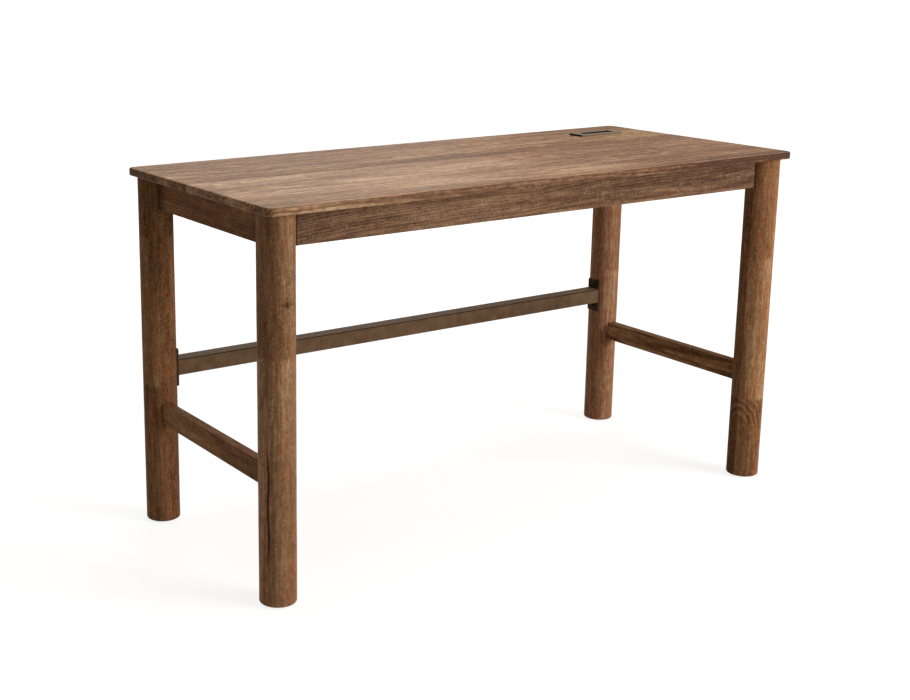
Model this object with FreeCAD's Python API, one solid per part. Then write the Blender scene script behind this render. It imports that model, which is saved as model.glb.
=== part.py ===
import FreeCAD, Part
import math
import os

V = FreeCAD.Vector
UP = V(0, 0, 1)
DOWN = V(0, 0, -1)

# All lengths are millimetres. The desk stands on z = 0, centred on the origin:
# +X runs along its length, +Y towards the back, +Z up.

# Overall size
desk_length = 1350.0
desk_depth = 578.0
desk_height = 762.0

# Desk top, two boards glued edge to edge
top_thickness = 16.0
top_corner_radius = 16.0
top_upper_edge_radius = 4.0
top_lower_edge_radius = 3.0
top_front_board_width = 309.0

# Round legs, set in from the edges of the top
leg_diameter = 72.0
leg_end_overhang = 5.5
leg_side_overhang = 10.0
leg_foot_chamfer = 2.5

# Nailed glides under the legs
glide_diameter = 40.0
glide_height = 3.0
glide_edge_chamfer = 1.0
glide_web = 1.4
nail_head_diameter = 9.0
nail_head_height = 1.0
nail_diameter = 3.0
nail_length = 20.0

# Aprons, housed in the legs and pegged with dowels
apron_thickness = 20.0
apron_height = 64.0
apron_housing_depth = 6.0
apron_edge_radius = 1.5
dowel_diameter = 10.0
dowel_length = 30.0
dowel_spacing = 34.0
dowel_chamfer = 1.0
dowel_end_space = 1.0

# Corner blocks, each drawn towards its leg by a hanger bolt
corner_block_thickness = 20.0
corner_block_height = 40.0
corner_block_leg_gap = 0.6
hanger_bolt_diameter = 8.0
hanger_bolt_grip = 24.0
hanger_bolt_stand = 4.0
hanger_washer_diameter = 20.0
hanger_washer_thickness = 1.6
hanger_nut_width = 13.0
hanger_nut_height = 6.5
block_screw_head_diameter = 8.0
block_screw_head_height = 2.6
block_screw_diameter = 4.0
block_screw_length = 20.0
block_screw_wood = 8.0

# Low wooden stretchers at the two ends, tenoned into the legs
stretcher_thickness = 22.0
stretcher_height = 44.0
stretcher_centre_z = 244.0
stretcher_housing_depth = 5.0
stretcher_edge_radius = 1.5
tenon_thickness = 10.0
tenon_height = 28.0
tenon_length = 14.0

# Steel bar between the back legs, with a plate at each end
bar_depth = 38.0
bar_height = 35.0
bar_wall = 1.5
bar_corner_radius = 2.5
bar_centre_z = 336.0
plate_width = 38.0
plate_height = 82.0
plate_thickness = 4.0
plate_corner_radius = 4.0
plate_flat_depth = 4.5
plate_screw_spacing = 58.0
plate_screw_head_diameter = 10.0
plate_screw_head_height = 3.0
plate_screw_diameter = 5.0
plate_screw_length = 28.0

# Angle brackets that hold the top to the aprons
bracket_width = 18.0
bracket_leg = 22.0
bracket_thickness = 2.0
bracket_bend_radius = 2.0
bracket_hole_setback = 13.0
bracket_screw_head_diameter = 7.0
bracket_screw_head_height = 2.2
bracket_screw_diameter = 3.5
bracket_screw_length = 13.0
long_apron_bracket_shares = (0.27, 0.73)
end_apron_bracket_shares = (0.5,)

# Power unit let into the back right of the top
power_end_margin = 91.0
power_back_margin = 91.0
bezel_length = 133.0
bezel_depth = 48.0
bezel_height = 5.0
bezel_corner_radius = 6.0
bezel_edge_radius = 1.6
bezel_opening_length = 98.0
bezel_opening_depth = 26.0
bezel_opening_corner_radius = 3.0
collar_length = 114.0
collar_depth = 38.0
collar_wall = 2.0
collar_corner_radius = 4.0
collar_drop = 10.0
cutout_clearance = 0.8
insert_height = 14.0
insert_face = 3.0
housing_height = 22.0
housing_wall = 2.0
outlet_spacing = 66.0
blade_spacing = 12.7
blade_slot_width = 2.2
blade_slot_lengths = (6.8, 8.4)
earth_hole_diameter = 5.0
earth_offset = 11.9
outlet_setback = 4.0
contact_wall = 0.8
usb_spacing = 14.0
usb_length = 12.6
usb_width = 5.2
usb_wall = 0.5
usb_depth = 11.0
usb_tongue_thickness = 1.8
usb_tongue_length = 9.0
usb_tongue_height = 8.0
clamp_width = 16.0
clamp_foot = 14.0
clamp_thickness = 3.0
clamp_screw_head_diameter = 6.0
clamp_screw_head_height = 2.0
clamp_screw_diameter = 3.0
clamp_screw_length = 8.0
gland_bore = 7.0
gland_wall = 1.5
gland_flange_diameter = 16.0
gland_flange_height = 3.0

# Fits and cutting
wood_fit = 0.15
hole_fit = 0.1
plastic_fit = 0.2
overrun = 5.0
same_place = 0.001

# Shares that shape the turned fasteners
head_top_share = 0.6
tip_share = 0.25

# Places worked out from the sizes above
leg_radius = leg_diameter / 2
leg_x = desk_length / 2 - leg_end_overhang - leg_radius
leg_y = desk_depth / 2 - leg_side_overhang - leg_radius
top_under_z = desk_height - top_thickness
apron_bottom_z = top_under_z - apron_height
apron_middle_z = top_under_z - apron_height / 2


def chord_distance(width):
    """Distance from a leg's axis to the chord of this width."""
    return math.sqrt(leg_radius ** 2 - (width / 2) ** 2)


apron_end = chord_distance(apron_thickness) - apron_housing_depth
stretcher_end = chord_distance(stretcher_thickness) - stretcher_housing_depth
plate_seat = leg_radius - plate_flat_depth
plate_face = plate_seat + plate_thickness
block_near = (leg_radius + corner_block_leg_gap) * math.sqrt(2) - apron_thickness / 2
block_far = block_near + corner_block_thickness * math.sqrt(2)
block_screw_setback = (block_near + block_far) / 2
block_face = leg_radius + corner_block_leg_gap + corner_block_thickness
power_x = desk_length / 2 - power_end_margin - bezel_length / 2
power_y = desk_depth / 2 - power_back_margin - bezel_depth / 2
insert_length = collar_length - 2 * collar_wall - 2 * plastic_fit
insert_depth = collar_depth - 2 * collar_wall - 2 * plastic_fit
insert_bottom_z = desk_height - insert_height
housing_bottom_z = insert_bottom_z - housing_height
collar_bottom_z = top_under_z - collar_drop

CORNERS = {
    "front_left": (-1, -1),
    "front_right": (1, -1),
    "back_left": (-1, 1),
    "back_right": (1, 1),
}


def corner_point(corner, inward_x, inward_y, z):
    """Point measured inwards from the axis of a corner's leg."""
    side_x, side_y = corner
    return V(side_x * (leg_x - inward_x), side_y * (leg_y - inward_y), z)


def inward(corner, along_x, along_y):
    """Direction that points inwards from a corner's leg."""
    side_x, side_y = corner
    return V(-side_x * along_x, -side_y * along_y, 0)


def box_between(one, other):
    """Box with these two opposite corners, given in any order."""
    low = V(min(one.x, other.x), min(one.y, other.y), min(one.z, other.z))
    return Part.makeBox(abs(one.x - other.x), abs(one.y - other.y), abs(one.z - other.z), low)


def rounded_block(length, depth, low_z, high_z, radius, centre_x=0, centre_y=0):
    """Upright block with rounded vertical edges, centred in plan."""
    half = V(length / 2, depth / 2, 0)
    centre = V(centre_x, centre_y, 0)
    block = box_between(centre - half + V(0, 0, low_z), centre + half + V(0, 0, high_z))
    return block.makeFillet(radius, edges_along(block, "Z"))


def edges_along(shape, axis):
    """Straight edges of a shape that run along one axis."""
    others = [name for name in "XYZ" if name != axis]
    chosen = []
    for edge in shape.Edges:
        box = edge.BoundBox
        spans = [getattr(box, name + "Length") for name in others]
        if max(spans) < same_place:
            chosen.append(edge)
    return chosen


def edges_at(shape, z):
    """Edges of a shape that lie in one level plane."""
    return [
        edge
        for edge in shape.Edges
        if abs(edge.BoundBox.ZMin - z) < same_place and abs(edge.BoundBox.ZMax - z) < same_place
    ]


def edge_through(shape, point):
    """The edge of a shape that passes nearest to a point."""
    vertex = Part.Vertex(point)
    return min(shape.Edges, key=lambda edge: edge.distToShape(vertex)[0])


def turned(profile, seat, direction):
    """Solid of revolution; profile points are (radius, distance along direction)."""
    points = [V(radius, 0, along) for radius, along in profile]
    face = Part.Face(Part.makePolygon(points + points[:1]))
    solid = face.revolve(V(0, 0, 0), UP, 360)
    solid.Placement = FreeCAD.Placement(seat, FreeCAD.Rotation(UP, direction))
    return solid


def screw(seat, direction, head_diameter, head_height, diameter, length):
    """Pan-headed screw whose head stands on the seat and whose tip points along direction."""
    head = head_diameter / 2
    shank = diameter / 2
    profile = [
        (0, -head_height),
        (head * head_top_share, -head_height),
        (head, -head_height * (1 - head_top_share)),
        (head, 0),
        (shank, 0),
        (shank, length - diameter),
        (shank * tip_share, length),
        (0, length),
    ]
    return turned(profile, seat, direction)


def hole(seat, direction, diameter, length):
    """Cutting cylinder for a fastener, run out past the seat."""
    start = seat - direction * overrun
    return Part.makeCylinder(diameter / 2 + hole_fit, length + overrun, start, direction)


def save(name, solids):
    """Write one node, either a single solid or a group of alike ones."""
    shape = solids[0] if len(solids) == 1 else Part.makeCompound(solids)
    shape.exportStep(os.path.join("parts", name + ".step"))


def dowel_places():
    """Middle and direction of each dowel, at the joints of aprons and legs."""
    places = []
    for corner in CORNERS.values():
        for along_x, along_y in ((1, 0), (0, 1)):
            for side in (-1, 1):
                z = apron_middle_z + side * dowel_spacing / 2
                middle = corner_point(corner, apron_end * along_x, apron_end * along_y, z)
                places.append((middle, inward(corner, along_x, along_y)))
    return places


def block_screw_places():
    """Seat and direction of the screws through the corner blocks into the aprons."""
    seat = apron_thickness / 2 + block_screw_wood
    places = []
    for corner in CORNERS.values():
        to_long_apron = corner_point(corner, block_screw_setback, seat, apron_middle_z)
        to_end_apron = corner_point(corner, seat, block_screw_setback, apron_middle_z)
        places.append((to_long_apron, inward(corner, 0, -1)))
        places.append((to_end_apron, inward(corner, -1, 0)))
    return places


def bracket_places():
    """Corner point and inward direction of each angle bracket under the top."""
    places = []
    face_x = leg_x - apron_thickness / 2
    face_y = leg_y - apron_thickness / 2
    for side in (-1, 1):
        for share in long_apron_bracket_shares:
            x = leg_x * (2 * share - 1)
            places.append((V(x, side * face_y, top_under_z), V(0, -side, 0)))
        for share in end_apron_bracket_shares:
            y = leg_y * (2 * share - 1)
            places.append((V(side * face_x, y, top_under_z), V(-side, 0, 0)))
    return places


def bracket_screw_places():
    """Seat and direction of the two screws in each angle bracket."""
    places = []
    for corner, away in bracket_places():
        on_apron = corner + away * bracket_thickness + DOWN * bracket_hole_setback
        on_top = corner + DOWN * bracket_thickness + away * bracket_hole_setback
        places.append((on_apron, away * -1))
        places.append((on_top, UP))
    return places


def plate_screw_places():
    """Seat and direction of the screws in the bar's end plates."""
    places = []
    for corner in (CORNERS["back_left"], CORNERS["back_right"]):
        for side in (-1, 1):
            z = bar_centre_z + side * plate_screw_spacing / 2
            places.append((corner_point(corner, plate_face, 0, z), inward(corner, -1, 0)))
    return places


def nail_places():
    """Seat of each glide's nail, with the nail pointing up into the leg."""
    seat_z = glide_height - glide_web
    return [corner_point(corner, 0, 0, seat_z) for corner in CORNERS.values()]


def clamp_screw_places():
    """Seat and direction of the screws that hold the power unit's clamps."""
    reach = collar_length / 2 + clamp_thickness
    z = (top_under_z - clamp_thickness + collar_bottom_z) / 2
    return [(V(power_x + side * reach, power_y, z), V(-side, 0, 0)) for side in (-1, 1)]


def screw_holes(places, diameter, length):
    """Holes for a set of like screws."""
    return [hole(seat, direction, diameter, length) for seat, direction in places]


def hanger_bolt_tip(corner):
    """Inner end of a corner's hanger bolt, in the leg."""
    reach = (leg_radius - hanger_bolt_grip) / math.sqrt(2)
    return corner_point(corner, reach, reach, apron_middle_z)


def dowel_holes(places):
    """Holes in apron ends and legs, a little deeper than the dowels."""
    half = dowel_length / 2 + dowel_end_space
    radius = dowel_diameter / 2 + hole_fit
    return [
        Part.makeCylinder(radius, 2 * half, middle - direction * half, direction)
        for middle, direction in places
    ]


def bracket_holes():
    return screw_holes(bracket_screw_places(), bracket_screw_diameter, bracket_screw_length)


def block_screw_holes():
    return screw_holes(block_screw_places(), block_screw_diameter, block_screw_length)


def make_top():
    """The two boards of the top, with the opening for the power unit."""
    slab = rounded_block(desk_length, desk_depth, top_under_z, desk_height, top_corner_radius)
    slab = slab.makeFillet(top_upper_edge_radius, edges_at(slab, desk_height))
    slab = slab.makeFillet(top_lower_edge_radius, edges_at(slab, top_under_z))
    cutout = rounded_block(
        collar_length + 2 * cutout_clearance,
        collar_depth + 2 * cutout_clearance,
        top_under_z - overrun,
        desk_height + overrun,
        collar_corner_radius,
        power_x,
        power_y,
    )
    slab = slab.cut([cutout] + bracket_holes())
    seam_y = top_front_board_width - desk_depth / 2
    low = V(-desk_length, -desk_depth, 0)
    front = box_between(low, V(desk_length, seam_y, desk_height + overrun))
    save("top_front_board", slab.common(front).Solids)
    save("top_back_board", slab.cut(front).Solids)


def make_leg(name, corner):
    """Round leg with housings for the aprons, a mortise and, at the back, a flat."""
    foot = corner_point(corner, 0, 0, glide_height)
    leg = Part.makeCylinder(leg_radius, top_under_z - glide_height, foot, UP)
    leg = leg.makeChamfer(leg_foot_chamfer, edges_at(leg, glide_height))
    out = leg_radius + overrun
    half_apron = apron_thickness / 2 + wood_fit
    half_stretcher = stretcher_thickness / 2 + wood_fit
    half_stretcher_height = stretcher_height / 2 + wood_fit
    half_tenon = tenon_thickness / 2 + wood_fit
    half_tenon_height = tenon_height / 2 + wood_fit
    low_z = stretcher_centre_z - half_stretcher_height
    high_z = stretcher_centre_z + half_stretcher_height
    mortise = stretcher_end - tenon_length - dowel_end_space
    cuts = [
        box_between(
            corner_point(corner, apron_end, -half_apron, apron_bottom_z),
            corner_point(corner, out, half_apron, top_under_z + overrun),
        ),
        box_between(
            corner_point(corner, -half_apron, apron_end, apron_bottom_z),
            corner_point(corner, half_apron, out, top_under_z + overrun),
        ),
        box_between(
            corner_point(corner, -half_stretcher, stretcher_end, low_z),
            corner_point(corner, half_stretcher, out, high_z),
        ),
        box_between(
            corner_point(corner, -half_tenon, mortise, stretcher_centre_z - half_tenon_height),
            corner_point(corner, half_tenon, out, stretcher_centre_z + half_tenon_height),
        ),
    ]
    cuts += dowel_holes(dowel_places())
    bolt_way = inward(corner, 1, 1).normalize()
    bolt_radius = hanger_bolt_diameter / 2 + hole_fit
    bolt_reach = hanger_bolt_grip + overrun
    cuts.append(Part.makeCylinder(bolt_radius, bolt_reach, hanger_bolt_tip(corner), bolt_way))
    nail_depth = nail_length + dowel_end_space
    cuts += [hole(seat, UP, nail_diameter, nail_depth) for seat in nail_places()]
    if corner[1] > 0:
        half_plate = plate_height / 2 + wood_fit
        cuts.append(
            box_between(
                corner_point(corner, plate_seat, -out, bar_centre_z - half_plate),
                corner_point(corner, out, out, bar_centre_z + half_plate),
            )
        )
        cuts += screw_holes(plate_screw_places(), plate_screw_diameter, plate_screw_length)
    save(name + "_leg", leg.cut(cuts).Solids)


def make_glide(name, corner):
    """Disc under a leg, hollowed below so that the nail head stays off the floor."""
    radius = glide_diameter / 2
    recess = nail_head_diameter / 2 + hole_fit
    bore = nail_diameter / 2 + hole_fit
    web_z = glide_height - glide_web
    profile = [
        (recess, 0),
        (radius - glide_edge_chamfer, 0),
        (radius, glide_edge_chamfer),
        (radius, glide_height),
        (bore, glide_height),
        (bore, web_z),
        (recess, web_z),
    ]
    save(name + "_glide", [turned(profile, corner_point(corner, 0, 0, 0), UP)])


def make_nails():
    nails = [
        screw(seat, UP, nail_head_diameter, nail_head_height, nail_diameter, nail_length)
        for seat in nail_places()
    ]
    save("glide_nails", nails)


def make_aprons():
    """Four rails under the top, each with its ends housed in two legs."""
    half = apron_thickness / 2
    reach_x = leg_x - apron_end
    reach_y = leg_y - apron_end
    cuts = dowel_holes(dowel_places()) + block_screw_holes() + bracket_holes()
    for side, name in ((-1, "front"), (1, "back")):
        low = V(-reach_x, side * leg_y - half, apron_bottom_z)
        high = V(reach_x, side * leg_y + half, top_under_z)
        save(name + "_apron", [finished_rail(low, high, "X", apron_edge_radius).cut(cuts)])
    for side, name in ((-1, "left"), (1, "right")):
        low = V(side * leg_x - half, -reach_y, apron_bottom_z)
        high = V(side * leg_x + half, reach_y, top_under_z)
        save(name + "_apron", [finished_rail(low, high, "Y", apron_edge_radius).cut(cuts)])


def finished_rail(low, high, axis, radius, all_round=False):
    """Square rail with its long edges eased, the lower ones or all four."""
    rail = box_between(low, high)
    eased = [
        edge
        for edge in edges_along(rail, axis)
        if all_round or abs(edge.BoundBox.ZMax - low.z) < same_place
    ]
    return rail.makeFillet(radius, eased)


def make_dowels():
    """Chamfered dowels, half in the leg and half in the apron."""
    half = dowel_length / 2
    radius = dowel_diameter / 2
    small = radius - dowel_chamfer
    profile = [
        (0, -half),
        (small, -half),
        (radius, dowel_chamfer - half),
        (radius, half - dowel_chamfer),
        (small, half),
        (0, half),
    ]
    save("apron_dowels", [turned(profile, middle, way) for middle, way in dowel_places()])


def make_corner_blocks():
    """Mitred blocks across the corners of the frame, bored for their bolt and screws."""
    face = apron_thickness / 2
    low_z = apron_middle_z - corner_block_height / 2
    counterbore = block_screw_head_diameter / 2 + hole_fit
    for name, corner in CORNERS.items():
        outline = [
            corner_point(corner, block_near, face, low_z),
            corner_point(corner, block_far, face, low_z),
            corner_point(corner, face, block_far, low_z),
            corner_point(corner, face, block_near, low_z),
        ]
        block = Part.Face(Part.makePolygon(outline + outline[:1])).extrude(UP * corner_block_height)
        bolt_way = inward(corner, 1, 1).normalize()
        bolt_hole = Part.makeCylinder(
            hanger_bolt_diameter / 2 + plastic_fit,
            block_face + overrun,
            corner_point(corner, 0, 0, apron_middle_z),
            bolt_way,
        )
        seats = [
            Part.makeCylinder(counterbore, corner_block_thickness, seat, direction * -1)
            for seat, direction in block_screw_places()
        ]
        save(name + "_corner_block", [block.cut([bolt_hole] + seats + block_screw_holes())])


def make_hanger_bolts():
    """Bolts, washers and nuts that draw the corner blocks to the legs."""
    radius = hanger_bolt_diameter / 2
    start = leg_radius - hanger_bolt_grip
    end = block_face + hanger_washer_thickness + hanger_nut_height + hanger_bolt_stand
    length = end - start
    bolt_profile = [
        (0, 0),
        (radius * tip_share, 0),
        (radius, hanger_bolt_diameter),
        (radius, length),
        (0, length),
    ]
    bolts = []
    washers = []
    nuts = []
    for corner in CORNERS.values():
        way = inward(corner, 1, 1).normalize()
        axis_point = corner_point(corner, 0, 0, apron_middle_z)
        seat = axis_point + way * block_face
        bolts.append(turned(bolt_profile, hanger_bolt_tip(corner), way))
        washers.append(hanger_washer(seat, way))
        nuts.append(hex_nut(seat + way * hanger_washer_thickness, way))
    save("hanger_bolts", bolts)
    save("hanger_washers", washers)
    save("hanger_nuts", nuts)


def hanger_washer(seat, direction):
    """Flat washer on the corner block, round the hanger bolt."""
    inner = hanger_bolt_diameter / 2 + hole_fit
    outer = hanger_washer_diameter / 2
    height = hanger_washer_thickness
    return turned([(inner, 0), (outer, 0), (outer, height), (inner, height)], seat, direction)


def hex_nut(seat, direction):
    """Plain hexagon nut on the hanger bolt."""
    corner_radius = hanger_nut_width / math.sqrt(3)
    points = [
        V(corner_radius * math.cos(turn), corner_radius * math.sin(turn), 0)
        for turn in (math.radians(60 * step) for step in range(6))
    ]
    body = Part.Face(Part.makePolygon(points + points[:1])).extrude(UP * hanger_nut_height)
    body.Placement = FreeCAD.Placement(seat, FreeCAD.Rotation(UP, direction))
    return body.cut(hole(seat, direction, hanger_bolt_diameter, hanger_nut_height + overrun))


def make_block_screws():
    screws = [
        screw(
            seat,
            direction,
            block_screw_head_diameter,
            block_screw_head_height,
            block_screw_diameter,
            block_screw_length,
        )
        for seat, direction in block_screw_places()
    ]
    save("corner_block_screws", screws)


def make_stretchers():
    """Low end rails with a tenon at each end."""
    half = stretcher_thickness / 2
    half_tenon = tenon_thickness / 2
    reach = leg_y - stretcher_end
    tenon_reach = reach + tenon_length
    low_z = stretcher_centre_z - stretcher_height / 2
    high_z = stretcher_centre_z + stretcher_height / 2
    for side, name in ((-1, "left"), (1, "right")):
        x = side * leg_x
        rail = finished_rail(
            V(x - half, -reach, low_z), V(x + half, reach, high_z), "Y", stretcher_edge_radius, True
        )
        tenons = box_between(
            V(x - half_tenon, -tenon_reach, stretcher_centre_z - tenon_height / 2),
            V(x + half_tenon, tenon_reach, stretcher_centre_z + tenon_height / 2),
        )
        save(name + "_stretcher", rail.fuse(tenons).removeSplitter().Solids)


def bar_section(shrink):
    """Rectangular block along the bar, smaller by a wall all round, for cutting it hollow."""
    reach = leg_x - plate_face
    half_depth = bar_depth / 2 - shrink
    half_height = bar_height / 2 - shrink
    block = box_between(
        V(-reach, leg_y - half_depth, bar_centre_z - half_height),
        V(reach, leg_y + half_depth, bar_centre_z + half_height),
    )
    return block.makeFillet(bar_corner_radius - shrink, edges_along(block, "X"))


def make_bar():
    """Hollow rectangular bar and the plates on which its ends are welded."""
    save("rear_bar", [bar_section(0).cut(bar_section(bar_wall))])
    holes = screw_holes(plate_screw_places(), plate_screw_diameter, plate_screw_length)
    half_width = plate_width / 2
    half_height = plate_height / 2
    for name in ("left", "right"):
        corner = CORNERS["back_" + name]
        plate = box_between(
            corner_point(corner, plate_seat, -half_width, bar_centre_z - half_height),
            corner_point(corner, plate_face, half_width, bar_centre_z + half_height),
        )
        plate = plate.makeFillet(plate_corner_radius, edges_along(plate, "X"))
        save(name + "_bar_plate", [plate.cut(holes)])
    screws = [
        screw(
            seat,
            direction,
            plate_screw_head_diameter,
            plate_screw_head_height,
            plate_screw_diameter,
            plate_screw_length,
        )
        for seat, direction in plate_screw_places()
    ]
    save("bar_plate_screws", screws)


def make_brackets():
    """Bent angle brackets between aprons and top, and their screws."""
    half = bracket_width / 2
    holes = bracket_holes()
    brackets = []
    for corner, away in bracket_places():
        across = away.cross(UP)
        outline = [
            corner,
            corner + away * bracket_leg,
            corner + away * bracket_leg + DOWN * bracket_thickness,
            corner + (away + DOWN) * bracket_thickness,
            corner + away * bracket_thickness + DOWN * bracket_leg,
            corner + DOWN * bracket_leg,
        ]
        start = [point - across * half for point in outline]
        angle = Part.Face(Part.makePolygon(start + start[:1])).extrude(across * bracket_width)
        inner_corner = corner + (away + DOWN) * bracket_thickness
        angle = angle.makeFillet(bracket_bend_radius, [edge_through(angle, inner_corner)])
        brackets.append(angle.cut(holes))
    save("top_brackets", brackets)
    screws = [
        screw(
            seat,
            direction,
            bracket_screw_head_diameter,
            bracket_screw_head_height,
            bracket_screw_diameter,
            bracket_screw_length,
        )
        for seat, direction in bracket_screw_places()
    ]
    save("top_bracket_screws", screws)


def make_power_bezel():
    """Raised frame on the top, with a collar that passes down through the board."""
    upper_z = desk_height + bezel_height
    rim = rounded_block(
        bezel_length, bezel_depth, desk_height, upper_z, bezel_corner_radius, power_x, power_y
    )
    opening = rounded_block(
        bezel_opening_length,
        bezel_opening_depth,
        collar_bottom_z,
        upper_z + overrun,
        bezel_opening_corner_radius,
        power_x,
        power_y,
    )
    rim = rim.cut(opening)
    rim = rim.makeFillet(bezel_edge_radius, edges_at(rim, upper_z))
    collar = rounded_block(
        collar_length,
        collar_depth,
        collar_bottom_z,
        desk_height,
        collar_corner_radius,
        power_x,
        power_y,
    )
    bore = rounded_block(
        collar_length - 2 * collar_wall,
        collar_depth - 2 * collar_wall,
        collar_bottom_z - overrun,
        desk_height,
        collar_corner_radius - collar_wall,
        power_x,
        power_y,
    )
    bezel = rim.fuse(collar.cut(bore)).removeSplitter()
    holes = screw_holes(clamp_screw_places(), clamp_screw_diameter, clamp_screw_length)
    save("power_bezel", bezel.cut(holes).Solids)


def outlet_slots():
    """Plan boxes of the blade slots and centres of the earth holes, as places on the insert."""
    slots = []
    earths = []
    for outlet_side in (-1, 1):
        x = power_x + outlet_side * outlet_spacing / 2
        y = power_y + outlet_setback
        earths.append(V(x, y - earth_offset, 0))
        for blade_side, length in zip((-1, 1), blade_slot_lengths):
            slots.append((x + blade_side * blade_spacing / 2, y, length))
    return slots, earths


def slot_block(place, grow, low_z, high_z):
    """Upright block the size of a blade slot, grown all round."""
    x, y, length = place
    half = V(blade_slot_width / 2 + grow, length / 2 + grow, 0)
    return box_between(V(x, y, low_z) - half, V(x, y, high_z) + half)


def usb_places():
    """Plan centres of the two charging ports."""
    return [V(power_x, power_y + side * usb_spacing / 2, 0) for side in (-1, 1)]


def usb_block(centre, grow, low_z, high_z):
    """Upright block the size of a charging port, grown all round."""
    half = V(usb_length / 2 + grow, usb_width / 2 + grow, 0)
    return box_between(centre + UP * low_z - half, centre + UP * high_z + half)


def make_power_insert():
    """Socket face under the bezel's opening, with its contacts and charging ports."""
    insert = rounded_block(
        insert_length,
        insert_depth,
        insert_bottom_z,
        desk_height,
        collar_corner_radius - collar_wall - plastic_fit,
        power_x,
        power_y,
    )
    slots, earths = outlet_slots()
    face_under_z = desk_height - insert_face
    below = insert_bottom_z - overrun
    above = desk_height + overrun
    earth_radius = earth_hole_diameter / 2
    pocket_grow = contact_wall + plastic_fit
    usb_bottom_z = desk_height - usb_depth
    cuts = []
    contacts = []
    for place in slots:
        cuts.append(slot_block(place, 0, below, above))
        cuts.append(slot_block(place, pocket_grow, below, face_under_z))
        sleeve = slot_block(place, contact_wall, insert_bottom_z, face_under_z)
        contacts.append(sleeve.cut(slot_block(place, 0, insert_bottom_z + contact_wall, above)))
    for centre in earths:
        start = centre + UP * below
        cuts.append(Part.makeCylinder(earth_radius, above - below, start, UP))
        cuts.append(Part.makeCylinder(earth_radius + pocket_grow, face_under_z - below, start, UP))
        height = face_under_z - insert_bottom_z
        outer = earth_radius + contact_wall
        profile = [
            (0, 0),
            (outer, 0),
            (outer, height),
            (earth_radius, height),
            (earth_radius, contact_wall),
            (0, contact_wall),
        ]
        contacts.append(turned(profile, centre + UP * insert_bottom_z, UP))
    shells = []
    tongues = []
    for centre in usb_places():
        cuts.append(usb_block(centre, usb_wall + plastic_fit, usb_bottom_z, above))
        shell = usb_block(centre, usb_wall, usb_bottom_z, desk_height)
        shells.append(shell.cut(usb_block(centre, 0, usb_bottom_z + usb_wall, above)))
        half = V(usb_tongue_length / 2, usb_tongue_thickness / 2, 0)
        foot = centre + UP * (usb_bottom_z + usb_wall)
        tongues.append(box_between(foot - half, foot + half + UP * usb_tongue_height))
    save("power_insert", insert.cut(cuts).Solids)
    save("outlet_contacts", contacts)
    save("usb_shells", shells)
    save("usb_tongues", tongues)


def make_power_housing():
    """Open box under the insert, closed below, with a gland for a lead."""
    radius = collar_corner_radius - collar_wall - plastic_fit
    shell = rounded_block(
        insert_length, insert_depth, housing_bottom_z, insert_bottom_z, radius, power_x, power_y
    )
    inside = box_between(
        V(
            power_x - insert_length / 2 + housing_wall,
            power_y - insert_depth / 2 + housing_wall,
            housing_bottom_z + housing_wall,
        ),
        V(
            power_x + insert_length / 2 - housing_wall,
            power_y + insert_depth / 2 - housing_wall,
            insert_bottom_z + overrun,
        ),
    )
    sleeve_diameter = gland_bore + 2 * gland_wall
    seat = V(power_x, power_y, housing_bottom_z)
    holes = screw_holes(clamp_screw_places(), clamp_screw_diameter, clamp_screw_length)
    gland_hole = hole(seat, UP, sleeve_diameter, housing_wall + overrun)
    save("power_housing", shell.cut([inside, gland_hole] + holes).Solids)
    bore = gland_bore / 2
    sleeve = sleeve_diameter / 2
    flange = gland_flange_diameter / 2
    profile = [
        (bore, -gland_flange_height),
        (sleeve, -gland_flange_height),
        (flange, 0),
        (sleeve, 0),
        (sleeve, housing_wall),
        (bore, housing_wall),
    ]
    save("cord_gland", [turned(profile, seat, UP)])


def make_power_clamps():
    """Angle feet that grip the top from below, screwed to the ends of the collar."""
    clamps = []
    holes = screw_holes(clamp_screw_places(), clamp_screw_diameter, clamp_screw_length)
    half = clamp_width / 2
    for side in (-1, 1):
        wall_x = power_x + side * collar_length / 2
        foot = box_between(
            V(wall_x, power_y - half, top_under_z - clamp_thickness),
            V(wall_x + side * clamp_foot, power_y + half, top_under_z),
        )
        stem = box_between(
            V(wall_x, power_y - half, collar_bottom_z),
            V(wall_x + side * clamp_thickness, power_y + half, top_under_z),
        )
        clamps.append(foot.fuse(stem).removeSplitter().cut(holes))
    save("power_clamps", clamps)
    screws = [
        screw(
            seat,
            direction,
            clamp_screw_head_diameter,
            clamp_screw_head_height,
            clamp_screw_diameter,
            clamp_screw_length,
        )
        for seat, direction in clamp_screw_places()
    ]
    save("power_clamp_screws", screws)


os.makedirs("parts", exist_ok=True)
make_top()
for leg_name, leg_corner in CORNERS.items():
    make_leg(leg_name, leg_corner)
    make_glide(leg_name, leg_corner)
make_nails()
make_aprons()
make_dowels()
make_corner_blocks()
make_hanger_bolts()
make_block_screws()
make_stretchers()
make_bar()
make_brackets()
make_power_bezel()
make_power_insert()
make_power_housing()
make_power_clamps()
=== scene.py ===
import math
from collections import namedtuple
from functools import reduce

import bmesh
import bpy
from mathutils import Matrix, Vector, noise


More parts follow.
